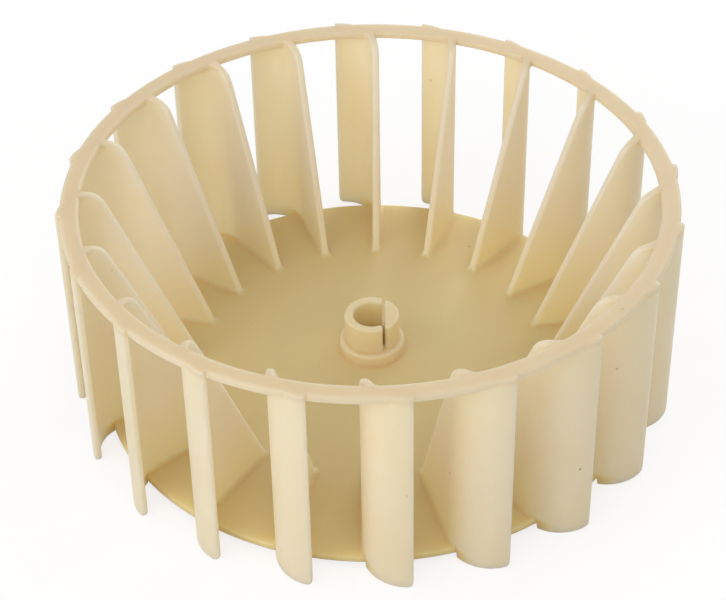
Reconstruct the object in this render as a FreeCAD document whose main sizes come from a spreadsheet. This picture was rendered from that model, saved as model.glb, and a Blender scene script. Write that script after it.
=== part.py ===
import FreeCAD, Part
import math
import os
import Sketcher
from FreeCAD import Vector

# Blower wheel of a clothes dryer, moulded in one piece: a dished floor, hooked blades,
# a top ring and a split collar with a D bore.
# The origin is on the axis, in the plane that the blades' lower edges stand on.
# +Z is the axis and points out of the open mouth. +X points at the flat of the D bore.

SIZES = [
    ("tip_radius", 103.0, "axis to the outer face of the blade tips"),
    ("overall_height", 80.4, "resting plane to the top of the ring"),
    ("blade_count", 20, "blades round the wheel"),
    ("blade_thickness", 2.5, "wall of a blade"),
    ("blade_hook_radius", 13.2, "bend of a blade's outer end, at mid wall"),
    ("blade_foot_inset", 43.6, "tips to a blade's inner edge, at the floor"),
    ("blade_head_inset", 12.8, "tips to the same edge, run on to the ring's top"),
    ("blade_head_round", 9.5, "round where the inner edge turns into the top edge"),
    ("blade_corner_round", 1.8, "round of the lower outer corner"),
    ("blade_phase", -1.9, "degrees from +X to the first blade's web"),
    ("ring_inset", 1.4, "by which the tips stand proud of the top ring"),
    ("ring_width", 6.3, "top ring, from its inside to its outside"),
    ("ring_height", 3.0, "top ring, from its top to its underside"),
    ("ring_bevel", 0.7, "broken corners of the ring"),
    ("floor_inset", 10.2, "tips to the floor's edge"),
    ("floor_thickness", 2.4, "wall of the floor"),
    ("floor_lift", 1.8, "resting plane to the floor's lower edge"),
    ("floor_rise", 9.75, "floor's cone, from its edge up to its apex on the axis"),
    ("bore_radius", 6.4, "bore of the collar, which grips the 12.7 mm shaft"),
    ("flat_distance", 4.4, "axis to the flat of the D bore"),
    ("seat_clearance", 0.2, "by which the round seat below the D bore is wider"),
    ("collar_wall", 3.0, "wall of the collar round the bore"),
    ("collar_height", 14.4, "collar above the floor beside it"),
    ("collar_bevel", 0.6, "broken edges of the collar's top and the boss's ledge"),
    ("slot_width", 0.8, "cut beside the flat, down to the boss, which lets the collar close"),
    ("boss_wall", 4.8, "wall of the boss round the bore"),
    ("boss_rise", 4.2, "boss, from the collar's foot up to its ledge"),
    ("sleeve_length", 5.0, "round sleeve below the floor"),
    ("cut_clearance", 2.0, "by which a cut runs past what it cuts"),
]

doc = FreeCAD.newDocument("BlowerWheel")
sheet = doc.addObject("Spreadsheet::Sheet", "Sizes")
for row, (alias, number, meaning) in enumerate(SIZES, start=1):
    sheet.set("A%d" % row, alias)
    sheet.set("B%d" % row, str(number))
    sheet.set("C%d" % row, meaning)
    sheet.setAlias("B%d" % row, alias)
doc.recompute()

body = doc.addObject("PartDesign::Body", "Wheel")
body.Label = "blower_wheel"
body.AllowCompound = True


def value(expression):
    """Number that an expression of the sheet gives now."""
    return float(sheet.evalExpression(expression))


def origin_feature(role):
    """Plane or axis of the body's own origin."""
    return [item for item in body.Origin.OriginFeatures if item.Role == role][0]


def rebuild(feature):
    """Recomputes the model and stops where something has failed."""
    doc.recompute()
    for item in doc.Objects:
        if "Invalid" in item.State or "Error" in item.State:
            raise RuntimeError("%s failed, made for %s" % (item.Name, feature.Name))
    return feature


def new_sketch(name, role, raised="0"):
    """Empty sketch on a plane of the body's origin, raised off it by an expression."""
    sketch = body.newObject("Sketcher::SketchObject", name)
    sketch.AttachmentSupport = [(origin_feature(role), "")]
    sketch.MapMode = "FlatFace"
    if raised != "0":
        sketch.setExpression("AttachmentOffset.Base.z", raised)
    return sketch


def bind(sketch, kind, places, expression):
    """Dimension of a sketch that follows the sheet."""
    number = sketch.addConstraint(Sketcher.Constraint(kind, *places, value(expression)))
    sketch.setExpression("Constraints[%d]" % number, expression)


def rounded_corner(before, corner, after, radius):
    """Centre, tangent points and turn of the arc that rounds a corner."""
    inward = (corner - before).normalize()
    outward = (after - corner).normalize()
    turn = math.atan2(inward.x * outward.y - inward.y * outward.x, inward.dot(outward))
    reach = radius * math.tan(abs(turn) / 2)
    side = math.copysign(1, turn)
    first = corner - inward * reach
    centre = first + Vector(-inward.y, inward.x, 0) * (side * radius)
    return centre, first, corner + outward * reach, side


def outline(sketch, corners):
    """Closed polygon with sharp or rounded corners.

    A corner is its x, its y and, where it is rounded, its radius, each an expression of the sheet.
    """
    points = [Vector(value(corner[0]), value(corner[1]), 0) for corner in corners]
    count = len(corners)
    ends = []
    for number, corner in enumerate(corners):
        point = points[number]
        if len(corner) == 2:
            ends.append((point, point, None, 0))
            continue
        before, after = points[number - 1], points[(number + 1) % count]
        centre, first, last, side = rounded_corner(before, point, after, value(corner[2]))
        angles = [math.atan2(end.y - centre.y, end.x - centre.x) for end in (first, last)]
        circle = Part.Circle(centre, Vector(0, 0, 1), value(corner[2]))
        arc = Part.ArcOfCircle(circle, *(angles if side > 0 else reversed(angles)))
        ends.append((first, last, sketch.addGeometry(arc), side))
    lines = []
    for number in range(count):
        segment = Part.LineSegment(ends[number][1], ends[(number + 1) % count][0])
        lines.append(sketch.addGeometry(segment))
    for number, corner in enumerate(corners):
        arriving, leaving = lines[number - 1], lines[number]
        arc, side = ends[number][2:]
        if arc is None:
            sketch.addConstraint(Sketcher.Constraint("Coincident", arriving, 2, leaving, 1))
            place = (leaving, 1)
        else:
            arc_start, arc_end = (1, 2) if side > 0 else (2, 1)
            place = (sketch.addGeometry(Part.Point(points[number]), True), 1)
            sketch.addConstraint(Sketcher.Constraint("Tangent", arriving, 2, arc, arc_start))
            sketch.addConstraint(Sketcher.Constraint("Tangent", leaving, 1, arc, arc_end))
            sketch.addConstraint(Sketcher.Constraint("PointOnObject", *place, arriving))
            sketch.addConstraint(Sketcher.Constraint("PointOnObject", *place, leaving))
            bind(sketch, "Radius", (arc,), corner[2])
        for kind, distance, axis in (("DistanceX", corner[0], -2), ("DistanceY", corner[1], -1)):
            if distance == "0":
                sketch.addConstraint(Sketcher.Constraint("PointOnObject", *place, axis))
            else:
                bind(sketch, kind, (-1, 1) + place, distance)


def revolve(kind, name, corners):
    """Full turn of an outline about the wheel's axis: a Revolution or a Groove."""
    sketch = new_sketch(name + "Profile", "XZ_Plane")
    outline(sketch, corners)
    feature = body.newObject("PartDesign::" + kind, name)
    feature.Profile = sketch
    feature.ReferenceAxis = (sketch, ["V_Axis"])
    feature.Angle = 360
    return rebuild(feature)


# Radii that follow from the sizes above
FLOOR_RADIUS = "(Sizes.tip_radius - Sizes.floor_inset)"
FOOT_RADIUS = "(Sizes.tip_radius - Sizes.blade_foot_inset)"
HEAD_RADIUS = "(Sizes.tip_radius - Sizes.blade_head_inset)"
RING_OUTSIDE = "(Sizes.tip_radius - Sizes.ring_inset)"
RING_INSIDE = "(%s - Sizes.ring_width)" % RING_OUTSIDE
SEAT_RADIUS = "(Sizes.bore_radius + Sizes.seat_clearance)"
COLLAR_RADIUS = "(Sizes.bore_radius + Sizes.collar_wall)"
BOSS_RADIUS = "(Sizes.bore_radius + Sizes.boss_wall)"


def floor_top(radius):
    """Height of the floor's upper face at a radius: a cone that rises to the axis."""
    edge = "Sizes.floor_lift + Sizes.floor_thickness"
    return "%s + (1 - %s / %s) * Sizes.floor_rise" % (edge, radius, FLOOR_RADIUS)


def floor_underside(radius):
    """Height of the floor's lower face at a radius."""
    return "%s - Sizes.floor_thickness" % floor_top(radius)


# Heights of the hub: the collar rises from the floor beside it, and the sleeve hangs below the boss
COLLAR_FOOT = floor_top(COLLAR_RADIUS)
COLLAR_TOP = "%s + Sizes.collar_height" % COLLAR_FOOT
BOSS_LEDGE = "%s + Sizes.boss_rise" % COLLAR_FOOT
SLEEVE_END = "%s - Sizes.sleeve_length" % floor_underside(BOSS_RADIUS)


def blade_plan():
    """Plan of one blade: a radial web whose outer end bends round until it meets the tip circle."""
    half = value("Sizes.blade_thickness") / 2
    bend = value("Sizes.blade_hook_radius")
    foot = value(FOOT_RADIUS)
    mid_tip = value("Sizes.tip_radius") - half
    web_end = math.sqrt((mid_tip - bend) ** 2 - bend**2)
    tip_angle = math.atan2(bend, web_end)
    centre = Vector(web_end, bend, 0)
    upright = Vector(0, 0, 1)
    toward_tip = Vector(math.cos(tip_angle), math.sin(tip_angle), 0)

    sketch = new_sketch("BladePlan", "XY_Plane")
    sketch.AttachmentOffset = FreeCAD.Placement(Vector(), FreeCAD.Rotation(upright, 1))
    sketch.setExpression("AttachmentOffset.Rotation.Angle", "Sizes.blade_phase")
    webs = []
    bends = []
    for side in (-half, half):
        web = Part.LineSegment(Vector(foot, side, 0), Vector(web_end, side, 0))
        circle = Part.Circle(centre, upright, bend - side)
        webs.append(sketch.addGeometry(web))
        bends.append(sketch.addGeometry(Part.ArcOfCircle(circle, -math.pi / 2, tip_angle)))
    foot_edge = Part.LineSegment(Vector(foot, half, 0), Vector(foot, -half, 0))
    foot_line = sketch.addGeometry(foot_edge)
    tip_edge = Part.LineSegment(centre + toward_tip * (bend - half), centre + toward_tip * (bend + half))
    tip_line = sketch.addGeometry(tip_edge)
    for constraint in (
        ("Coincident", foot_line, 2, webs[0], 1),
        ("Coincident", foot_line, 1, webs[1], 1),
        ("Horizontal", webs[0]),
        ("Horizontal", webs[1]),
        ("Symmetric", foot_line, 1, foot_line, 2, -1),
        ("Tangent", webs[0], 2, bends[0], 1),
        ("Tangent", webs[1], 2, bends[1], 1),
        ("Coincident", bends[0], 3, bends[1], 3),
        ("Coincident", bends[0], 2, tip_line, 2),
        ("Coincident", bends[1], 2, tip_line, 1),
        ("PointOnObject", bends[0], 3, tip_line),
        ("PointOnObject", -1, 1, tip_line),
    ):
        sketch.addConstraint(Sketcher.Constraint(*constraint))
    bind(sketch, "DistanceX", (-1, 1, foot_line, 1), FOOT_RADIUS)
    bind(sketch, "Distance", (foot_line,), "Sizes.blade_thickness")
    bind(sketch, "Radius", (bends[0],), "Sizes.blade_hook_radius + Sizes.blade_thickness / 2")
    bind(sketch, "Distance", (-1, 1, bends[0], 2), "Sizes.tip_radius")
    return sketch


def tip_corners():
    """Names of the blades' lower outer corners: short radial edges in the resting plane, at the tips."""
    tip = value("Sizes.tip_radius")
    thickness = value("Sizes.blade_thickness")
    small = 0.001
    names = []
    for number, edge in enumerate(body.Shape.Edges, start=1):
        radii = sorted(math.hypot(end.X, end.Y) for end in edge.Vertexes)
        low = max(end.Z for end in edge.Vertexes) < small
        if low and abs(radii[-1] - tip) < small and abs(radii[-1] - radii[0] - thickness) < small:
            names.append("Edge%d" % number)
    return names


def blades():
    """Twenty blades, each padded up, trimmed to its sloping inner edge and to the floor below."""
    blade = body.newObject("PartDesign::Pad", "Blade")
    blade.Profile = blade_plan()
    blade.setExpression("Length", "Sizes.overall_height")
    rebuild(blade)

    around = body.newObject("PartDesign::PolarPattern", "BladesRound")
    around.Originals = [blade]
    around.Axis = (origin_feature("Z_Axis"), [""])
    around.Angle = 360
    around.setExpression("Occurrences", "Sizes.blade_count")
    body.Tip = around
    rebuild(around)

    corners = body.newObject("PartDesign::Fillet", "BladeCorners")
    corners.Base = (around, tip_corners())
    corners.setExpression("Radius", "Sizes.blade_corner_round")
    rebuild(corners)

    start = "(%s / 2)" % FOOT_RADIUS
    foot_level = floor_top(FOOT_RADIUS)
    above = "Sizes.overall_height + Sizes.cut_clearance"
    revolve(
        "Groove",
        "Mouth",
        [
            (start, foot_level),
            (FOOT_RADIUS, foot_level),
            (HEAD_RADIUS, "Sizes.overall_height", "Sizes.blade_head_round"),
            ("Sizes.tip_radius", "Sizes.overall_height"),
            ("Sizes.tip_radius", above),
            (start, above),
        ],
    )
    half_wall = " + Sizes.floor_thickness / 2"
    below = "-Sizes.cut_clearance"
    revolve(
        "Groove",
        "UnderFloor",
        [
            (start, below),
            (FLOOR_RADIUS, below),
            (FLOOR_RADIUS, floor_underside(FLOOR_RADIUS) + half_wall),
            (start, floor_underside(start) + half_wall),
        ],
    )


def floor_and_ring():
    """The dished floor that carries the blades' feet, and the ring that ties their upper ends."""
    revolve(
        "Revolution",
        "Floor",
        [
            (BOSS_RADIUS, floor_underside(BOSS_RADIUS)),
            (FLOOR_RADIUS, floor_underside(FLOOR_RADIUS)),
            (FLOOR_RADIUS, floor_top(FLOOR_RADIUS)),
            (BOSS_RADIUS, floor_top(BOSS_RADIUS)),
        ],
    )
    top = "Sizes.overall_height"
    bottom = "Sizes.overall_height - Sizes.ring_height"
    bevel = "Sizes.ring_bevel"
    revolve(
        "Revolution",
        "Ring",
        [
            ("%s + %s" % (RING_INSIDE, bevel), bottom),
            ("%s - %s" % (RING_OUTSIDE, bevel), bottom),
            (RING_OUTSIDE, "%s + %s" % (bottom, bevel)),
            (RING_OUTSIDE, "%s - %s" % (top, bevel)),
            ("%s - %s" % (RING_OUTSIDE, bevel), top),
            ("%s + %s" % (RING_INSIDE, bevel), top),
            (RING_INSIDE, "%s - %s" % (top, bevel)),
            (RING_INSIDE, "%s + %s" % (bottom, bevel)),
        ],
    )


def hub():
    """Collar, boss and sleeve in one, then the flat of the D bore and the cut that splits the collar."""
    bevel = "Sizes.collar_bevel"
    revolve(
        "Revolution",
        "Hub",
        [
            (SEAT_RADIUS, SLEEVE_END),
            (BOSS_RADIUS, SLEEVE_END),
            (BOSS_RADIUS, "%s - %s" % (BOSS_LEDGE, bevel)),
            ("%s - %s" % (BOSS_RADIUS, bevel), BOSS_LEDGE),
            (COLLAR_RADIUS, BOSS_LEDGE),
            (COLLAR_RADIUS, "%s - %s" % (COLLAR_TOP, bevel)),
            ("%s - %s" % (COLLAR_RADIUS, bevel), COLLAR_TOP),
            ("Sizes.bore_radius", COLLAR_TOP),
            ("Sizes.bore_radius", COLLAR_FOOT),
            (SEAT_RADIUS, COLLAR_FOOT),
        ],
    )

    segment = new_sketch("FlatPlan", "XY_Plane", COLLAR_FOOT)
    flat = value("Sizes.flat_distance")
    radius = value("Sizes.bore_radius + Sizes.collar_wall / 2")
    half_chord = math.sqrt(radius**2 - flat**2)
    angle = math.atan2(half_chord, flat)
    circle = Part.Circle(Vector(), Vector(0, 0, 1), radius)
    arc = segment.addGeometry(Part.ArcOfCircle(circle, -angle, angle))
    chord = Part.LineSegment(Vector(flat, -half_chord, 0), Vector(flat, half_chord, 0))
    chord_line = segment.addGeometry(chord)
    for constraint in (
        ("Coincident", arc, 1, chord_line, 1),
        ("Coincident", arc, 2, chord_line, 2),
        ("Coincident", arc, 3, -1, 1),
        ("Vertical", chord_line),
    ):
        segment.addConstraint(Sketcher.Constraint(*constraint))
    bind(segment, "Radius", (arc,), "Sizes.bore_radius + Sizes.collar_wall / 2")
    bind(segment, "DistanceX", (-1, 1, chord_line, 1), "Sizes.flat_distance")
    flat_side = body.newObject("PartDesign::Pad", "BoreFlat")
    flat_side.Profile = segment
    flat_side.setExpression("Length", "Sizes.collar_height")
    rebuild(flat_side)

    slot = new_sketch("SlotPlan", "XY_Plane", BOSS_LEDGE)
    past = "(%s + Sizes.cut_clearance)" % COLLAR_RADIUS
    slot_start = "Sizes.flat_distance - Sizes.slot_width"
    outline(
        slot,
        [
            (slot_start, "-" + past),
            ("Sizes.flat_distance", "-" + past),
            ("Sizes.flat_distance", past),
            (slot_start, past),
        ],
    )
    before = body.Shape.Volume
    cut = body.newObject("PartDesign::Pocket", "CollarSlot")
    cut.Profile = slot
    cut.Reversed = True
    cut.setExpression("Length", "Sizes.collar_height - Sizes.boss_rise + Sizes.cut_clearance")
    rebuild(cut)
    if body.Shape.Volume >= before:
        raise RuntimeError("the collar's slot cuts nothing")


blades()
floor_and_ring()
hub()

shape = body.Shape
if shape.isNull() or not shape.isValid() or len(shape.Solids) != 1:
    raise RuntimeError("the wheel isn't one valid solid")
os.makedirs("parts", exist_ok=True)
shape.exportStep("parts/%s.step" % body.Label)
print("%s: %.0f mm3, %d faces, %s" % (body.Label, shape.Volume, len(shape.Faces), shape.BoundBox))
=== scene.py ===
import math

import bpy
import numpy as np
from mathutils import Matrix


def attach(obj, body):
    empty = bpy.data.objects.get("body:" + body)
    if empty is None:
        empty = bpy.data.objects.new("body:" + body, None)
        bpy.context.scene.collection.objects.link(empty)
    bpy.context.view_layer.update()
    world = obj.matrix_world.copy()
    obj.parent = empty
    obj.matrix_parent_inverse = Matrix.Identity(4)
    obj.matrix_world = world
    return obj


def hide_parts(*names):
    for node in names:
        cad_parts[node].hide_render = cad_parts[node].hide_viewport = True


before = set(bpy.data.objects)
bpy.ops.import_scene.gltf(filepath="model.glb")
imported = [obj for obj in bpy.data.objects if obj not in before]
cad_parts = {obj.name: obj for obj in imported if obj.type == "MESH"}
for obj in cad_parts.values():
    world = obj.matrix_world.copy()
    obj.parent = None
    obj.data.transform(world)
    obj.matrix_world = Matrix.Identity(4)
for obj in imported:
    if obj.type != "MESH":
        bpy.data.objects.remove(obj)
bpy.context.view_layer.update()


# The floor and the hub. The floor is a thin dished plate, moulded in one with the blades on it. At
# its middle it thickens into a boss, with the collar's foot above and a short sleeve for the shaft
# below. Sizes are in millimetres as far as the moulding, where the wheel becomes one mesh.

FLOOR_RADIUS = 92.8
FLOOR_WALL = 2.4
FLOOR_LIFT = 1.8
FLOOR_RISE = 9.75
FLOOR_EDGE_TOP = FLOOR_LIFT + FLOOR_WALL
FLOOR_LOWER_ROUND = 0.6
FLOOR_UPPER_ROUND = 0.8

BORE_RADIUS = 6.4
SEAT_RADIUS = 6.6
COLLAR_RADIUS = 9.4
BOSS_RADIUS = 11.2
BOSS_RISE = 4.2
BOSS_FILLET = 1.0
BOSS_ROUND = 1.1
LEDGE_FILLET = 0.4
SLOT_RISE = 0.4
SLEEVE_LENGTH = 5.0
SLEEVE_MOUTH_ROUND = 0.4
SLEEVE_END_ROUND = 0.7
SLEEVE_FILLET = 1.0

# Steps of a turned surface: their number round the axis, the degrees of one on an arc, and the
# longest one on the floor. Faces that would meet in one plane stand JOIN_STEP apart, so that the
# shells join cleanly.
TURN_STEPS = 240
ARC_STEP = 15
FLOOR_STEP = 7.0
JOIN_STEP = 0.02


def floor_top(radius):
    """Height of the floor's upper face: a shallow cone that falls evenly from the axis to its edge."""
    return FLOOR_EDGE_TOP + (1 - radius / FLOOR_RADIUS) * FLOOR_RISE


BOSS_FOOT = floor_top(BOSS_RADIUS)
COLLAR_FOOT = floor_top(COLLAR_RADIUS)
BOSS_LEDGE = COLLAR_FOOT + BOSS_RISE
SLOT_FLOOR = BOSS_LEDGE + SLOT_RISE
SLEEVE_END = BOSS_FOOT - FLOOR_WALL - SLEEVE_LENGTH


def rounded_profile(corners, longest):
    """Closed outline in radius and height, with each corner cut back to the tangent points of its arc.

    A corner is its radius from the axis, its height, and the radius of its arc. The arc's points
    lie at even angles between the two tangent points, round a centre on the corner's bisector.
    Straight runs are divided so that no step is longer than longest.
    """
    points = np.array([corner[:2] for corner in corners], float)
    rounds = np.array([corner[2] for corner in corners], float)
    arriving = points - np.roll(points, 1, axis=0)
    arriving /= np.linalg.norm(arriving, axis=1)[:, None]
    leaving = np.roll(arriving, -1, axis=0)
    cross = arriving[:, 0] * leaving[:, 1] - arriving[:, 1] * leaving[:, 0]
    turn = np.arctan2(cross, (arriving * leaving).sum(1))
    reach = rounds * np.tan(np.abs(turn) / 2)
    outline = []
    for point, bend, back, into, radius in zip(points, turn, reach, arriving, rounds):
        steps = max(2, math.ceil(abs(bend) / math.radians(ARC_STEP))) if radius else 0
        start = point - into * back
        centre = start + np.array([-into[1], into[0]]) * math.copysign(1, bend) * radius
        angles = np.linspace(0, bend, steps + 1)[:, None]
        spoke = start - centre
        square = np.array([-spoke[1], spoke[0]])
        outline.append(centre + spoke * np.cos(angles) + square * np.sin(angles))
    path = np.concatenate(outline + [outline[0][:1]])
    lengths = np.linalg.norm(np.diff(path, axis=0), axis=1)
    pieces = np.maximum(np.ceil(lengths / longest).astype(int), 1)
    parts = [np.linspace(a, b, n, endpoint=False) for a, b, n in zip(path[:-1], path[1:], pieces)]
    return np.concatenate(parts)


def turned_surface(profile):
    """Vertices and quads of a closed profile turned all round the axis.

    A point's x and y are its radius times the cosine and the sine of each angle.
    """
    angles = np.arange(TURN_STEPS) * 2 * math.pi / TURN_STEPS
    radius, height = profile.T
    x = np.cos(angles)[:, None] * radius
    y = np.sin(angles)[:, None] * radius
    z = np.broadcast_to(height, x.shape)
    grid = np.arange(x.size).reshape(x.shape)
    ahead = np.roll(grid, -1, axis=0)
    quads = [grid, ahead, np.roll(ahead, -1, axis=1), np.roll(grid, -1, axis=1)]
    return np.stack([x, y, z], axis=-1).reshape(-1, 3), [np.stack([q.ravel() for q in quads], axis=1)]


floor_and_hub = turned_surface(rounded_profile([
    (SEAT_RADIUS, SLEEVE_END, SLEEVE_MOUTH_ROUND),
    (BOSS_RADIUS, SLEEVE_END, SLEEVE_END_ROUND),
    (BOSS_RADIUS, BOSS_FOOT - FLOOR_WALL, SLEEVE_FILLET),
    (FLOOR_RADIUS, FLOOR_LIFT, FLOOR_LOWER_ROUND),
    (FLOOR_RADIUS, FLOOR_EDGE_TOP, FLOOR_UPPER_ROUND),
    (BOSS_RADIUS, BOSS_FOOT, BOSS_FILLET),
    (BOSS_RADIUS, BOSS_LEDGE, BOSS_ROUND),
    (COLLAR_RADIUS - JOIN_STEP, BOSS_LEDGE, LEDGE_FILLET),
    (COLLAR_RADIUS - JOIN_STEP, SLOT_FLOOR, 0),
    (BORE_RADIUS + JOIN_STEP, SLOT_FLOOR, 0),
    (BORE_RADIUS + JOIN_STEP, COLLAR_FOOT, 0),
    (SEAT_RADIUS, COLLAR_FOOT, 0),
], FLOOR_STEP))


# The ring. A flat rounded hoop, moulded in one with the blades, ties their upper ends together.
# The blades' tips stand a little proud of it.

OVERALL_HEIGHT = 80.4
RING_OUTSIDE = 101.6
RING_INSIDE = 95.3
RING_HEIGHT = 3.0
RING_ROUND = 1.2
RING_STEP = 3.0

ring = turned_surface(rounded_profile([
    (RING_INSIDE, OVERALL_HEIGHT - RING_HEIGHT, RING_ROUND),
    (RING_OUTSIDE, OVERALL_HEIGHT - RING_HEIGHT, RING_ROUND),
    (RING_OUTSIDE, OVERALL_HEIGHT, RING_ROUND),
    (RING_INSIDE, OVERALL_HEIGHT, RING_ROUND),
], RING_STEP))


# The blades. Twenty flat webs of natural, slightly see-through plastic stand on the floor like
# spokes, and the outer end of each is curled into a hook. They are moulded in one with the rest
# of the wheel. Their inner edges lean outwards and turn over into the top edge with a large round.

TIP_RADIUS = 103.0
BLADE_COUNT = 20
BLADE_PHASE = -1.9
BLADE_WALL = 2.5
HOOK_RADIUS = 13.2
BLADE_FOOT_RADIUS = 59.4
BLADE_HEAD_RADIUS = 90.2
BLADE_HEAD_ROUND = 9.5
BLADE_CORNER_ROUND = 1.8
BLADE_EDGE_ROUND = 0.9
BLADE_FOOT_FILLET = 1.5
BLADE_RING_FILLET = 1.5

BLADE_TOP = OVERALL_HEIGHT - JOIN_STEP
HOOK_CENTRE_RADIUS = TIP_RADIUS - BLADE_WALL / 2 - HOOK_RADIUS
WEB_END = math.sqrt(HOOK_CENTRE_RADIUS**2 - HOOK_RADIUS**2)
HOOK_AZIMUTH = math.atan2(HOOK_RADIUS, WEB_END)
BLADE_LENGTH = WEB_END + HOOK_RADIUS * (math.pi / 2 + HOOK_AZIMUTH)

# Rows of a blade's grid, which close up where it bends: heights over the floor's edge, heights over
# the resting plane, and depths below the top. The slope of the floor fades from them over CONE_FADE.
BURIED_ROWS = np.array([-1.2, -1.1, -1.0, -0.9, -0.6, -0.3])
FILLET_ROWS = np.array([0.03, 0.12, 0.3, 0.6, 1.0, 1.5])
WEB_ROWS = np.array([4, 8, 14, 22, 32, 44, 56, 64])
RESTING_ROWS = np.array([0.0, 0.06, 0.22, 0.5, 1.0, 2.6])
HEAD_ROWS = np.array([5.2, 4.6, 4.1, 3.7, 3.4, 3.2, 3.05, 2.6, 2.0, 1.4, 0.9, 0.45, 0.2, 0.05, 0])
CONE_FADE = 50
SETTLING_STEPS = 6

# Columns of the grid: insets from an end, shares of the web, steps from the ring's inner edge, and
# shares of the hook. A pair stands at the floor's edge, and each group keeps its room from the one
# before it. Insets at the inner edge are divided by its squareness, or by the least one.
EDGE_COLUMNS = BLADE_EDGE_ROUND * np.array([0.0, 0.06, 0.22, 0.5, 1.0])
WEB_COLUMNS = np.array([0.18, 0.36, 0.53, 0.68, 0.79, 0.85, 0.90, 0.94, 0.975, 1.0])
RING_COLUMNS = np.array([-3.7, -3.1, -2.6, -2.1, -1.7, -1.3, -0.9, -0.4, 0.1, 0.5, 0.9, 1.3, 1.7])
HOOK_COLUMNS = np.linspace(0, 1, 12)
PAIR_HALF_GAP = 0.1
PAIR_ROOM = 0.3
WEB_ROOM = 2.0
RING_ROOM = 4.0
HOOK_ROOM = 2.5
LEAST_SQUARENESS = 0.35

# Lengths over which the fillets fade out, and limits that keep their formulas from a division by
# zero and from an endless slope.
FOOT_FILLET_STOP = 0.4
FOOT_FILLET_FADE = 1.8
HOLLOW_FILLET_FADE = 3
OUTER_FILLET_FADE = 2.8
FLARE_LIMIT = 0.98
LEAST_SQUARED_SINE = 0.04
LEAST_LENGTH = 1e-9


def middle_line(along):
    """Place and heading of a blade's middle line in plan.

    It runs straight along x as far as WEB_END. From there its heading grows by the distance over
    HOOK_RADIUS, so that x gains the radius times the sine and y the radius times one minus the cosine.
    """
    heading = np.maximum(along - WEB_END, 0) / HOOK_RADIUS
    x = np.minimum(along, WEB_END) + HOOK_RADIUS * np.sin(heading)
    y = HOOK_RADIUS * (1 - np.cos(heading))
    return x, y, heading


def along_at_radius(radius):
    """Distance along the middle line at which it lies that far from the axis.

    On the hook it is the hook's radius times an angle, which the law of cosines gives in the
    triangle of the axis, the hook's centre and the point.
    """
    beyond = radius**2 - HOOK_CENTRE_RADIUS**2 - HOOK_RADIUS**2
    turned = HOOK_AZIMUTH + np.arcsin(np.clip(beyond / (2 * HOOK_CENTRE_RADIUS * HOOK_RADIUS), -1, 1))
    return np.where(radius <= WEB_END, radius, WEB_END + HOOK_RADIUS * turned)


FLOOR_EDGE_ALONG = along_at_radius(np.array(FLOOR_RADIUS))
RING_EDGE_ALONG = along_at_radius(np.array(RING_INSIDE))


def fillet_flare(rise, radius):
    """Sideways reach of a concave quarter circle at a height above the face that it runs out on.

    It is the radius less one leg of a triangle. The long side is the radius, and the other leg is
    what the height falls short of it.
    """
    missing = np.clip(radius - rise, 0, radius * FLARE_LIMIT)
    return radius - np.sqrt(radius**2 - missing**2)


def ring_gap(x, y, z):
    """Gap between a point and the ring, and how squarely it opens along the radius there, from 0 to 1.

    The ring's section is a box with round corners. The gap is the length of what sticks out of the
    box made smaller by the corners' radius, less that radius. Inside the ring it is the way in, below
    zero. The squareness is the share of that length that lies along the radius.
    """
    across = np.abs(np.hypot(x, y) - (RING_OUTSIDE + RING_INSIDE) / 2)
    beside = across - (RING_OUTSIDE - RING_INSIDE) / 2 + RING_ROUND
    below = np.abs(z - OVERALL_HEIGHT + RING_HEIGHT / 2) - RING_HEIGHT / 2 + RING_ROUND
    outside = np.hypot(np.maximum(beside, 0), np.maximum(below, 0))
    gap = outside + np.minimum(np.maximum(beside, below), 0) - RING_ROUND
    share = np.maximum(beside, 0) / np.maximum(outside, LEAST_LENGTH)
    return gap, np.where(outside > 0, share, beside > below)


def hollow_side_fillet(x, y, z, normal_x, normal_y):
    """Sideways reach of the fillet at the ring on a blade's hollow side, as a rolling ball leaves it.

    The ball touches the blade at the point, so its centre lies a fillet's radius along the side's
    normal. What its gap to the ring falls short of that radius, over the sine of the angle between
    the two faces, is the way back to where the ball fits. The reach is a circle's sagitta there.
    """
    size = BLADE_RING_FILLET
    ball_x, ball_y = x + size * normal_x, y + size * normal_y
    gap, radial = ring_gap(ball_x, ball_y, z)
    slant = radial * (normal_x * ball_x + normal_y * ball_y) / np.hypot(ball_x, ball_y)
    sine = np.sqrt(np.maximum(1 - slant**2, LEAST_SQUARED_SINE))
    back = np.clip((size - gap) / sine, 0, size * np.minimum(sine, FLARE_LIMIT))
    return size - np.sqrt(size**2 - back**2)


def shell_faces(rows, columns):
    """Quads of a closed shell of two like grids, one on each side of a wall, joined all round their edge.

    Vertices of the left side come first, row by row, and then those of the right side.
    """
    left = np.arange(rows * columns).reshape(rows, columns)
    right = left + rows * columns

    def strip(a, b, c, d):
        """Quads whose corners are the like places of four grids."""
        return np.stack([a.ravel(), b.ravel(), c.ravel(), d.ravel()], axis=1)

    return np.concatenate([
        strip(left[:-1, :-1], left[1:, :-1], left[1:, 1:], left[:-1, 1:]),
        strip(right[:-1, :-1], right[:-1, 1:], right[1:, 1:], right[1:, :-1]),
        strip(left[:-1, 0], right[:-1, 0], right[1:, 0], left[1:, 0]),
        strip(left[:-1, -1], left[1:, -1], right[1:, -1], right[:-1, -1]),
        strip(left[0, :-1], left[0, 1:], right[0, 1:], right[0, :-1]),
        strip(left[-1, :-1], right[-1, :-1], right[-1, 1:], left[-1, 1:]),
    ])


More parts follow.
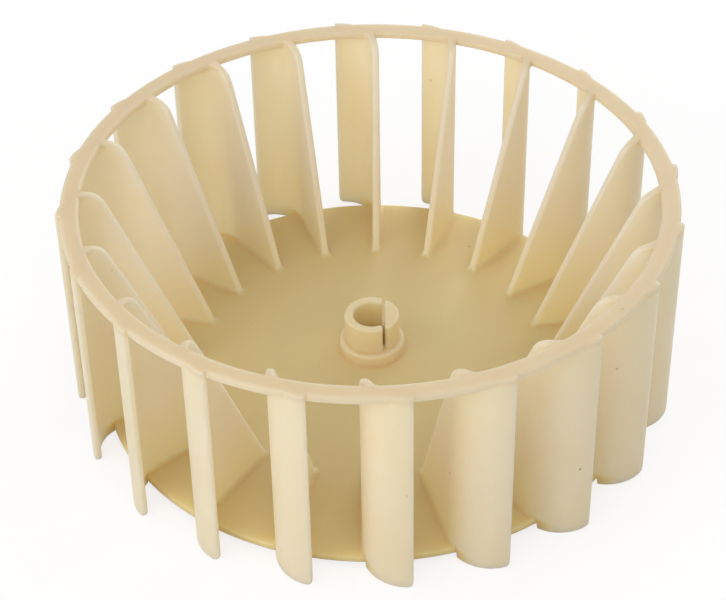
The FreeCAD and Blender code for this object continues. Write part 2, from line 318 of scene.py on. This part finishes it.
def blade_rows():
    """Heights of the rows, their share of the floor's slope, the inner edge and its squareness.

    A row has a height over the floor's edge, and one over the resting plane for its part outside
    that edge. The inner edge leans outwards along a straight line, and then turns over along the
    head's circle, whose rows are taken by angle. Its squareness is the cosine of its lean. The edge
    and the floor's slope under it depend on each other, and settle in a few steps.
    """
    foot_top = floor_top(BLADE_FOOT_RADIUS)
    slope = (BLADE_HEAD_RADIUS - BLADE_FOOT_RADIUS) / (OVERALL_HEIGHT - foot_top)
    lean = math.atan(slope)
    head_angle = np.append(math.pi - lean, math.pi - np.arcsin(1 - HEAD_ROWS / BLADE_HEAD_ROUND))
    head = BLADE_TOP - BLADE_HEAD_ROUND * (1 - np.sin(head_angle)) - FLOOR_EDGE_TOP
    rise = np.concatenate([BURIED_ROWS, FILLET_ROWS, WEB_ROWS, head])
    outside = np.concatenate([RESTING_ROWS, FLOOR_EDGE_TOP + rise[len(BURIED_ROWS):]])
    follows = np.clip(1 - (rise - FILLET_ROWS[-1]) / CONE_FADE, 0, 1)
    squareness = np.full(len(rise), math.cos(lean))
    squareness[-len(head):] = np.abs(np.cos(head_angle))

    inner = np.full(len(rise), BLADE_FOOT_RADIUS)
    for _ in range(SETTLING_STEPS):
        cone = floor_top(np.minimum(inner, FLOOR_RADIUS)) - FLOOR_EDGE_TOP
        height = FLOOR_EDGE_TOP + rise + cone * follows
        inner = BLADE_FOOT_RADIUS + slope * np.maximum(height - foot_top, 0)
    line_at_middle = BLADE_FOOT_RADIUS + slope * (OVERALL_HEIGHT - BLADE_HEAD_ROUND - foot_top)
    head_centre = line_at_middle + BLADE_HEAD_ROUND / math.cos(lean)
    inner[-len(head):] = head_centre + BLADE_HEAD_ROUND * np.cos(head_angle)
    return rise, outside, follows, inner, squareness


def blade_columns(first, last, squareness):
    """Distances along the middle line of the columns, for rows that run from first to last.

    The ends have fixed insets, and the web and the hook between them are divided by fixed shares,
    with a pair of columns at the floor's edge and fixed steps at the ring.
    """
    first_inset = EDGE_COLUMNS / np.maximum(squareness, LEAST_SQUARENESS)[:, None]
    web_start = first + first_inset[:, -1]
    web_end = np.maximum(FLOOR_EDGE_ALONG - PAIR_HALF_GAP, web_start + WEB_ROOM)
    over_edge = np.maximum(FLOOR_EDGE_ALONG + PAIR_HALF_GAP, web_end + PAIR_ROOM)
    ring_edge = np.maximum(RING_EDGE_ALONG, over_edge + RING_ROOM)
    hook_start = ring_edge + HOOK_ROOM
    hook_end = last - EDGE_COLUMNS[-1]
    return np.concatenate([
        first[:, None] + first_inset,
        web_start[:, None] + (web_end - web_start)[:, None] * WEB_COLUMNS,
        over_edge[:, None],
        ring_edge[:, None] + RING_COLUMNS,
        hook_start[:, None] + (hook_end - hook_start)[:, None] * HOOK_COLUMNS,
        last[:, None] - EDGE_COLUMNS[::-1][1:],
    ], axis=1)


def blade_half_wall(along, z, first, last, squareness):
    """Half the wall at each point of the grid, by the point's distance inside the blade's outline.

    That is the least distance to the inner edge, the tip, the top and, outside the floor, the
    resting plane, or the distance to the arc in the tip's lower corner. Within the edge's round the
    half wall loses a quarter circle's sagitta.
    """
    over_floor = along < FLOOR_EDGE_ALONG
    inside = (along - first[:, None]) * squareness[:, None]
    inside = np.minimum(inside, last[:, None] - along)
    inside = np.minimum(inside, BLADE_TOP - z)
    inside = np.where(over_floor, inside, np.minimum(inside, z))
    corner_x = along - (BLADE_LENGTH - BLADE_CORNER_ROUND)
    corner_z = z - BLADE_CORNER_ROUND
    in_corner = (corner_x > 0) & (corner_z < 0) & ~over_floor
    inside = np.where(in_corner, BLADE_CORNER_ROUND - np.hypot(corner_x, corner_z), inside)
    short = np.clip(BLADE_EDGE_ROUND - np.maximum(inside, 0), 0, BLADE_EDGE_ROUND)
    return BLADE_WALL / 2 - BLADE_EDGE_ROUND + np.sqrt(BLADE_EDGE_ROUND**2 - short**2)


def blade_shell():
    """Vertices and quads of one blade whose web lies along +X.

    Rows climb the blade and columns run from its inner edge to its tip. A point is the middle line's,
    moved square to it by half the wall, which flares into fillets at the floor and at the ring. Low
    rows follow the floor's cone, or the resting plane outside the floor's edge.
    """
    rise, outside, follows, inner, squareness = blade_rows()
    flare = fillet_flare(np.maximum(rise, FILLET_ROWS[0]), BLADE_FOOT_FILLET)
    first = along_at_radius(inner) - flare
    low = np.clip(BLADE_CORNER_ROUND - outside, 0, BLADE_CORNER_ROUND)
    last = BLADE_LENGTH - BLADE_CORNER_ROUND + np.sqrt(BLADE_CORNER_ROUND**2 - low**2)
    along = blade_columns(first, last, squareness)

    x, y, heading = middle_line(along)
    radius = np.hypot(x, y)
    cone = floor_top(np.minimum(radius, FLOOR_RADIUS)) - FLOOR_EDGE_TOP
    z = np.where(along < FLOOR_EDGE_ALONG, FLOOR_EDGE_TOP + rise[:, None], outside[:, None])
    z = z + cone * follows[:, None]
    foot_fade = (FLOOR_RADIUS - FOOT_FILLET_STOP - radius) / FOOT_FILLET_FADE
    half = blade_half_wall(along, z, first, last, squareness)
    half = half + flare[:, None] * np.clip(foot_fade, 0, 1)

    sides = []
    for side in (1, -1):
        normal_x, normal_y = -side * np.sin(heading), side * np.cos(heading)
        side_x, side_y = x + normal_x * half, y + normal_y * half
        if side > 0:
            fillet = hollow_side_fillet(side_x, side_y, z, normal_x, normal_y)
            fade = (BLADE_LENGTH - along) / HOLLOW_FILLET_FADE
        else:
            fillet = fillet_flare(np.maximum(ring_gap(side_x, side_y, z)[0], 0), BLADE_RING_FILLET)
            fade = (RING_OUTSIDE - RING_ROUND - np.hypot(side_x, side_y)) / OUTER_FILLET_FADE
        fillet = fillet * np.clip(fade, 0, 1)
        surface = np.stack([side_x + normal_x * fillet, side_y + normal_y * fillet, z], axis=-1)
        sides.append(surface.reshape(-1, 3))
    return np.concatenate(sides), shell_faces(*along.shape)


def turned_copies(vertices, faces, angles):
    """Like shells round the axis: each point's x and y turned by each angle in turn."""
    cos, sin = np.cos(angles)[:, None], np.sin(angles)[:, None]
    x, y, z = vertices.T
    heights = np.broadcast_to(z, (len(angles), len(z)))
    turned = np.stack([cos * x - sin * y, sin * x + cos * y, heights], axis=-1)
    starts = np.arange(len(angles))[:, None, None] * len(vertices)
    return turned.reshape(-1, 3), [(faces + starts).reshape(-1, faces.shape[1])]


blade_angles = np.radians(BLADE_PHASE + np.arange(BLADE_COUNT) * 360 / BLADE_COUNT)
blades = turned_copies(*blade_shell(), blade_angles)


# The collar. It grips the motor's shaft and is split by a straight cut beside the flat of its D
# bore, so that a clamp can close it. Above the cut it is a C and a separate solid chord.

COLLAR_HEIGHT = 14.4
COLLAR_TOP = COLLAR_FOOT + COLLAR_HEIGHT
FLAT_DISTANCE = 4.4
SLOT_WIDTH = 0.8
C_CORNER = 0.95
CHORD_CORNER = 1.1
COLLAR_EDGE = 0.7
COLLAR_EDGE_ROWS = 6
C_OUTER_POINTS = 72
C_BORE_POINTS = 56
C_OUTER_CORNER_POINTS = 7
C_BORE_CORNER_POINTS = 8
CHORD_POINTS = 40
CHORD_CORNER_POINTS = 9


def arc_points(centre, radius, start, end, count):
    """Points at even angles on an arc, in degrees, and their outward normals.

    The normal points away from the centre on an arc that turns left, and towards it on one that
    turns right.
    """
    angles = np.radians(np.linspace(start, end, count))
    normals = np.stack([np.cos(angles), np.sin(angles)], axis=1)
    return np.array(centre) + normals * radius, normals * math.copysign(1, end - start)


def chained(arcs):
    """Points and normals of a chain of arcs, each without its first point, so that none comes twice."""
    return tuple(np.concatenate(part) for part in zip(*[(p[1:], n[1:]) for p, n in arcs]))


def upright_prism(outline, normals, bottom, top, edge_round):
    """Vertices and faces of an outline carried straight up, its top edge rounded by a quarter circle.

    The rows of the round move in along the outline's normals by the round less its cosine, and up
    by its sine.
    """
    angles = np.radians(np.linspace(0, 90, COLLAR_EDGE_ROWS))
    shoulder = top - edge_round
    inset = np.concatenate([[0, 0], edge_round * (1 - np.cos(angles))[1:]])
    heights = np.concatenate([[bottom, shoulder], (shoulder + edge_round * np.sin(angles))[1:]])
    plan = outline[None] - normals[None] * inset[:, None, None]
    z = np.broadcast_to(heights[:, None, None], plan.shape[:2] + (1,))
    vertices = np.concatenate([plan, z], axis=-1).reshape(-1, 3)
    grid = np.arange(len(heights) * len(outline)).reshape(len(heights), len(outline))
    ahead = np.roll(grid, -1, axis=1)
    quads = [grid[:-1], ahead[:-1], ahead[1:], grid[1:]]
    return vertices, [np.stack([q.ravel() for q in quads], axis=1), grid[:1, ::-1], grid[-1:]]


def c_outline():
    """Outline of the collar's C in plan: outer arc, rounded end, bore's arc backwards, rounded end.

    A corner's centre lies its radius inside the end's straight side and inside the arc that it
    joins, so its y is a leg of the triangle that has its x and its distance from the axis.
    """
    x = FLAT_DISTANCE - SLOT_WIDTH - C_CORNER
    outer_y = math.sqrt((COLLAR_RADIUS - C_CORNER) ** 2 - x**2)
    inner_y = math.sqrt((BORE_RADIUS + C_CORNER) ** 2 - x**2)
    outer = math.degrees(math.atan2(outer_y, x))
    inner = math.degrees(math.atan2(inner_y, x))
    return chained([
        arc_points((0, 0), COLLAR_RADIUS, outer, 360 - outer, C_OUTER_POINTS),
        arc_points((x, -outer_y), C_CORNER, -outer, 0, C_OUTER_CORNER_POINTS),
        arc_points((x, -inner_y), C_CORNER, 0, 180 - inner, C_BORE_CORNER_POINTS),
        arc_points((0, 0), BORE_RADIUS, 360 - inner, inner, C_BORE_POINTS),
        arc_points((x, inner_y), C_CORNER, 180 + inner, 360, C_BORE_CORNER_POINTS),
        arc_points((x, outer_y), C_CORNER, 0, outer, C_OUTER_CORNER_POINTS),
    ])


def chord_outline():
    """Outline of the collar's solid side in plan: an arc, and a straight side between rounded corners.

    A corner's centre lies its radius inside the straight side and inside the arc.
    """
    x = FLAT_DISTANCE + CHORD_CORNER
    y = math.sqrt((COLLAR_RADIUS - CHORD_CORNER) ** 2 - x**2)
    outer = math.degrees(math.atan2(y, x))
    return chained([
        arc_points((0, 0), COLLAR_RADIUS, -outer, outer, CHORD_POINTS),
        arc_points((x, y), CHORD_CORNER, outer, 180, CHORD_CORNER_POINTS),
        arc_points((x, -y), CHORD_CORNER, 180, 360 - outer, CHORD_CORNER_POINTS),
    ])


collar_c = upright_prism(*c_outline(), COLLAR_FOOT, COLLAR_TOP, COLLAR_EDGE)
collar_chord = upright_prism(*chord_outline(), COLLAR_FOOT, COLLAR_TOP, COLLAR_EDGE)


# The moulding. Floor, hub and ring are one set of closed shells and the blades and the collar's two
# sides another. They become one skin, as the one shot of plastic that fills the tool does.

MILLIMETRE = 0.001
SHARP_ANGLE = 38
LARGE_FACE_WEIGHT = 80


def shell_object(name, shells):
    """Mesh object of several closed shells, whose sizes are turned from millimetres to metres.

    A shell is its vertices and a list of arrays of faces, one for each number of corners. Faces
    count on by the number of vertices in the shells before theirs.
    """
    vertices = np.concatenate([shell[0] for shell in shells]) * MILLIMETRE
    starts = np.cumsum([0] + [len(shell[0]) for shell in shells])
    faces = []
    for start, (_, groups) in zip(starts, shells):
        for group in groups:
            faces += (group + start).tolist()
    mesh = bpy.data.meshes.new(name)
    mesh.from_pydata(vertices.tolist(), [], faces)
    made = bpy.data.objects.new(name, mesh)
    bpy.context.scene.collection.objects.link(made)
    return made


turned_parts = shell_object("turned_parts", [floor_and_hub, ring])
standing_parts = shell_object("standing_parts", [blades, collar_c, collar_chord])
union = turned_parts.modifiers.new("one_shot", "BOOLEAN")
union.operation = "UNION"
union.solver = "MANIFOLD"
union.object = standing_parts
bpy.context.view_layer.update()
united = turned_parts.evaluated_get(bpy.context.evaluated_depsgraph_get())
skin = bpy.data.meshes.new_from_object(united)
wheel = bpy.data.objects.new("wheel_moulding", skin)
bpy.context.scene.collection.objects.link(wheel)
for part in (turned_parts, standing_parts):
    bpy.data.objects.remove(part)
skin.shade_smooth()
skin.set_sharp_from_angle(angle=math.radians(SHARP_ANGLE))
flat_faces = wheel.modifiers.new("flat_faces_stay_flat", "WEIGHTED_NORMAL")
flat_faces.keep_sharp = True
flat_faces.weight = LARGE_FACE_WEIGHT


# The plastic: natural polypropylene, whose thin walls let much light through. It is ivory, with painted
# light that pales the inner webs and painted shade that deepens the ring's top, the webs' feet, the hub
# and the floor. Its skin has a satin shine and a fine grain.

PLASTIC_PALE = (0.93, 0.80, 0.605, 1)
PLASTIC_WARM = (0.87, 0.69, 0.455, 1)
# The ring's tone is painted shade that darkens the ring's top against the light falling on it.
PAINTED_SHADE_RING_TONE = (0.80, 0.63, 0.425, 1)
# The hub's tone is painted shade on the collar and boss, deep in the wheel.
PAINTED_SHADE_HUB_TONE = (0.865, 0.70, 0.42, 1)
# The foot's tone is painted shade low on the webs, tinted as by the floor's yellow bounce light.
PAINTED_SHADE_FOOT_TONE = (0.915, 0.805, 0.52, 1)
# The well's tone is painted shade on the floor between the blades, where little light reaches.
PAINTED_SHADE_WELL_TONE = (0.93, 0.657, 0.295, 1)
PLASTIC_SPECK = (0.30, 0.20, 0.10, 1)

# Where each tone sets in, in metres: first where there is none of it, and then where it is full. Rises
# are heights with the fall of the floor's cone added back, so that its whole top has one, and distances
# are from the axis. The web paling moves the clouds on the webs towards the pale tone, as painted light.
# The ring's, the foot's, the hub's and the well's tones are painted shade.
PAINTED_LIGHT_WEB_DISTANCES = (0.094, 0.084)
PAINTED_SHADE_RING_HEIGHTS = (0.0772, 0.0800)
PAINTED_SHADE_FOOT_RISES = (0.045, 0.016)
PAINTED_SHADE_FOOT_DISTANCES = (0.0985, 0.0900)
PAINTED_SHADE_HUB_DISTANCES = (0.0135, 0.0120)
PAINTED_SHADE_WELL_RISES = (0.0150, 0.0138)
PAINTED_SHADE_WELL_DISTANCES = (0.0985, 0.0945)
PAINTED_LIGHT_WEB_PALING = -0.35

# Scales are in patches to the metre, and the grain's depth is in metres. A speck fades in over
# SPECK_SIZES, in shares of its cell, and is the darker the further its cell's random value lies
# along SPECK_CHOICE. Smudges over their spread turn the satin from shinier to duller.
CLOUD_SCALE = 32
CLOUD_DETAIL = 3
SPECK_SCALE = 75
SPECK_SIZES = (0.045, 0.02)
SPECK_CHOICE = (0.60, 0.95)
SMUDGE_SCALE = 55
SMUDGE_DETAIL = 4
SMUDGE_SPREAD = (0.3, 0.7)
SATIN_ROUGHNESS = (0.44, 0.58)
GRAIN_SCALE = 900
GRAIN_DETAIL = 2
GRAIN_STRENGTH = 0.15
GRAIN_DEPTH = 0.0001

# All the scattered light goes through the plastic, by LIGHT_DEPTH, in metres, times each colour's
# share in LIGHT_SPREAD.
PLASTIC_IOR = 1.49
LIGHT_SHARE = 1.0
LIGHT_SPREAD = (0.8, 0.9, 0.82)
LIGHT_DEPTH = 0.008


def ramped(tree, value, limits, results=(0, 1)):
    """Value that goes evenly from one result to the other as its driver goes between two limits."""
    ramp = tree.nodes.new("ShaderNodeMapRange")
    ramp.inputs["From Min"].default_value, ramp.inputs["From Max"].default_value = limits
    ramp.inputs["To Min"].default_value, ramp.inputs["To Max"].default_value = results
    tree.links.new(value, ramp.inputs["Value"])
    return ramp.outputs["Result"]


def product(tree, first, second):
    """One value times another."""
    times = tree.nodes.new("ShaderNodeMath")
    times.operation = "MULTIPLY"
    tree.links.new(first, times.inputs[0])
    tree.links.new(second, times.inputs[1])
    return times.outputs["Value"]


def scaled_sum(tree, value, factor, added):
    """One value times a fixed factor, plus another value."""
    total = tree.nodes.new("ShaderNodeMath")
    total.operation = "MULTIPLY_ADD"
    total.inputs[1].default_value = factor
    tree.links.new(value, total.inputs[0])
    tree.links.new(added, total.inputs[2])
    return total.outputs["Value"]


def noise(tree, place, scale, detail):
    """Soft patches over the object, as values that lie mostly between 0.3 and 0.7."""
    patches = tree.nodes.new("ShaderNodeTexNoise")
    patches.inputs["Scale"].default_value = scale
    patches.inputs["Detail"].default_value = detail
    tree.links.new(place, patches.inputs["Vector"])
    return patches.outputs["Fac"]


def toned(tree, factor, plain, tone):
    """Colour that turns from the plain one into a tone as the factor goes from 0 to 1."""
    mix = tree.nodes.new("ShaderNodeMix")
    mix.data_type = "RGBA"
    mix.inputs["B"].default_value = tone
    tree.links.new(factor, mix.inputs["Factor"])
    if isinstance(plain, tuple):
        mix.inputs["A"].default_value = plain
    else:
        tree.links.new(plain, mix.inputs["A"])
    return mix.outputs["Result"]


def natural_plastic():
    """Principled plastic that light passes into. Its colour clouds slowly between a pale and a warm tone.

    It is paler on the webs, a painted light for the light that shines through them. It turns to a painted
    shade on the ring above the blades' windows, darker against the light that falls on its top, to a
    yellower painted shade towards the webs' feet, and to deeper painted shade on the hub near the axis
    and on the floor's well. These depend on the place alone: its height, its rise, which is the height
    plus the floor's slope times the distance, and its distance from the axis.
    """
    material = bpy.data.materials.new("natural_plastic")
    material.use_nodes = True
    tree = material.node_tree
    nodes, links = tree.nodes, tree.links
    shader = nodes["Principled BSDF"]
    shader.inputs["IOR"].default_value = PLASTIC_IOR
    shader.inputs["Subsurface Weight"].default_value = LIGHT_SHARE
    shader.inputs["Subsurface Radius"].default_value = LIGHT_SPREAD
    shader.inputs["Subsurface Scale"].default_value = LIGHT_DEPTH

    place = nodes.new("ShaderNodeTexCoord").outputs["Object"]
    split = nodes.new("ShaderNodeSeparateXYZ")
    links.new(place, split.inputs["Vector"])
    height = split.outputs["Z"]
    flattened = nodes.new("ShaderNodeVectorMath")
    flattened.operation = "MULTIPLY"
    flattened.inputs[1].default_value = (1, 1, 0)
    links.new(place, flattened.inputs[0])
    length = nodes.new("ShaderNodeVectorMath")
    length.operation = "LENGTH"
    links.new(flattened.outputs["Vector"], length.inputs[0])
    distance = length.outputs["Value"]
    rise = scaled_sum(tree, distance, FLOOR_RISE / FLOOR_RADIUS, height)

    # Painted light pales the webs; painted shade deepens the ring's top, the webs' feet, the hub and the
    # floor's well.
    painted_light_webs = ramped(tree, distance, PAINTED_LIGHT_WEB_DISTANCES)
    clouds_and_painted_light = scaled_sum(tree, painted_light_webs, PAINTED_LIGHT_WEB_PALING, noise(tree, place, CLOUD_SCALE, CLOUD_DETAIL))
    painted_shade_foot = product(tree, ramped(tree, rise, PAINTED_SHADE_FOOT_RISES), ramped(tree, distance, PAINTED_SHADE_FOOT_DISTANCES))
    painted_shade_well = product(tree, ramped(tree, rise, PAINTED_SHADE_WELL_RISES), ramped(tree, distance, PAINTED_SHADE_WELL_DISTANCES))
    colour = toned(tree, clouds_and_painted_light, PLASTIC_PALE, PLASTIC_WARM)
    colour = toned(tree, ramped(tree, height, PAINTED_SHADE_RING_HEIGHTS), colour, PAINTED_SHADE_RING_TONE)
    colour = toned(tree, painted_shade_foot, colour, PAINTED_SHADE_FOOT_TONE)
    colour = toned(tree, ramped(tree, distance, PAINTED_SHADE_HUB_DISTANCES), colour, PAINTED_SHADE_HUB_TONE)
    colour = toned(tree, painted_shade_well, colour, PAINTED_SHADE_WELL_TONE)

    cells = nodes.new("ShaderNodeTexVoronoi")
    cells.inputs["Scale"].default_value = SPECK_SCALE
    links.new(place, cells.inputs["Vector"])
    chance = nodes.new("ShaderNodeSeparateColor")
    links.new(cells.outputs["Color"], chance.inputs["Color"])
    dot = ramped(tree, cells.outputs["Distance"], SPECK_SIZES)
    chosen = ramped(tree, chance.outputs["Red"], SPECK_CHOICE)
    colour = toned(tree, product(tree, dot, chosen), colour, PLASTIC_SPECK)
    links.new(colour, shader.inputs["Base Color"])

    smudges = noise(tree, place, SMUDGE_SCALE, SMUDGE_DETAIL)
    links.new(ramped(tree, smudges, SMUDGE_SPREAD, SATIN_ROUGHNESS), shader.inputs["Roughness"])

    grain = nodes.new("ShaderNodeBump")
    grain.inputs["Strength"].default_value = GRAIN_STRENGTH
    grain.inputs["Distance"].default_value = GRAIN_DEPTH
    links.new(noise(tree, place, GRAIN_SCALE, GRAIN_DETAIL), grain.inputs["Height"])
    links.new(grain.outputs["Normal"], shader.inputs["Normal"])
    return material


skin.materials.clear()
skin.materials.append(natural_plastic())
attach(wheel, "root")
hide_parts("blower_wheel")


# The studio: a plain white sheet under the wheel, a white sky and three large soft lamps. The sheet
# keeps the wheel's shadow, and its glow shows only to the camera and to glossy or clear surfaces.

SHEET_HALF = 3.0
SHEET_DROP = 0.0002
SHEET_CORNERS = ((-1, -1), (1, -1), (1, 1), (-1, 1))
SHEET_GLOW = 1.18
SHEET_GLOW_SHARE = 0.65
PAPER = (0.8, 0.8, 0.8, 1)
WHITE = (1, 1, 1, 1)
SKY_STRENGTH = 0.54
LAMP_SIZE = 0.9
LAMP_TARGET = (0, 0, 0.04)

# Each lamp's place, in metres, and its power, in watts.
LAMPS = {
    "key_lamp": ((-0.85, -0.6, 0.48), 3.9),
    "back_lamp": ((0.5, 0.95, 0.38), 4.6),
    "fill_lamp": ((0.1, -0.8, 0.85), 1.9),
}

sheet_mesh = bpy.data.meshes.new("sheet")
sheet_corners = [(x * SHEET_HALF, y * SHEET_HALF, -SHEET_DROP) for x, y in SHEET_CORNERS]
sheet_mesh.from_pydata(sheet_corners, [], [(0, 1, 2, 3)])
sheet = bpy.data.objects.new("sheet", sheet_mesh)
bpy.context.scene.collection.objects.link(sheet)
sheet_material = bpy.data.materials.new("white_sheet")
sheet_material.use_nodes = True
sheet_nodes, sheet_links = sheet_material.node_tree.nodes, sheet_material.node_tree.links
sheet_nodes.remove(sheet_nodes["Principled BSDF"])
paper = sheet_nodes.new("ShaderNodeBsdfDiffuse")
paper.inputs["Color"].default_value = PAPER
glow = sheet_nodes.new("ShaderNodeEmission")
glow.inputs["Color"].default_value = WHITE
glow.inputs["Strength"].default_value = SHEET_GLOW
path = sheet_nodes.new("ShaderNodeLightPath")
seen = path.outputs["Is Camera Ray"]
for ray in ("Is Glossy Ray", "Is Transmission Ray"):
    either = sheet_nodes.new("ShaderNodeMath")
    either.operation = "MAXIMUM"
    sheet_links.new(seen, either.inputs[0])
    sheet_links.new(path.outputs[ray], either.inputs[1])
    seen = either.outputs[0]
shown = sheet_nodes.new("ShaderNodeMath")
shown.operation = "MULTIPLY"
shown.inputs[1].default_value = SHEET_GLOW_SHARE
sheet_links.new(seen, shown.inputs[0])
blend = sheet_nodes.new("ShaderNodeMixShader")
sheet_links.new(shown.outputs[0], blend.inputs["Fac"])
sheet_links.new(paper.outputs[0], blend.inputs[1])
sheet_links.new(glow.outputs[0], blend.inputs[2])
sheet_links.new(blend.outputs[0], sheet_nodes["Material Output"].inputs["Surface"])
sheet_mesh.materials.append(sheet_material)

world = bpy.data.worlds.new("white_sky")
world.use_nodes = True
world.node_tree.nodes["Background"].inputs["Color"].default_value = WHITE
world.node_tree.nodes["Background"].inputs["Strength"].default_value = SKY_STRENGTH
bpy.context.scene.world = world

for lamp_name, (lamp_place, lamp_power) in LAMPS.items():
    light = bpy.data.lights.new(lamp_name, "AREA")
    light.size = LAMP_SIZE
    light.energy = lamp_power
    lamp = bpy.data.objects.new(lamp_name, light)
    aim = np.array(LAMP_TARGET, float) - np.array(lamp_place, float)
    tilt = math.atan2(math.hypot(aim[0], aim[1]), -aim[2])
    lamp.location = lamp_place
    lamp.rotation_euler = (tilt, 0, math.atan2(-aim[0], aim[1]))
    bpy.context.scene.collection.objects.link(lamp)


# The camera: above and in front of the wheel, which it looks down on at just under forty degrees.
# Its place is in metres, its turns are in degrees, and its lens and sensor are in millimetres.

CAMERA_PLACE = (0.0, -0.56549, 0.50253)
CAMERA_DOWN = 39.67
CAMERA_LEFT = 0.294
CAMERA_ROLL = -1.0986
CAMERA_LENS = 106.52
CAMERA_SENSOR = 36
CAMERA_NEAR = 0.01

camera_data = bpy.data.cameras.new("camera")
camera_data.sensor_width = CAMERA_SENSOR
camera_data.lens = CAMERA_LENS
camera_data.clip_start = CAMERA_NEAR
camera = bpy.data.objects.new("camera", camera_data)
camera.matrix_world = (
    Matrix.Translation(CAMERA_PLACE)
    @ Matrix.Rotation(math.radians(CAMERA_LEFT), 4, "Z")
    @ Matrix.Rotation(math.radians(90 - CAMERA_DOWN), 4, "X")
    @ Matrix.Rotation(math.radians(CAMERA_ROLL), 4, "Z")
)
bpy.context.scene.collection.objects.link(camera)
bpy.context.scene.camera = camera
bpy.context.scene.view_settings.view_transform = "Standard"
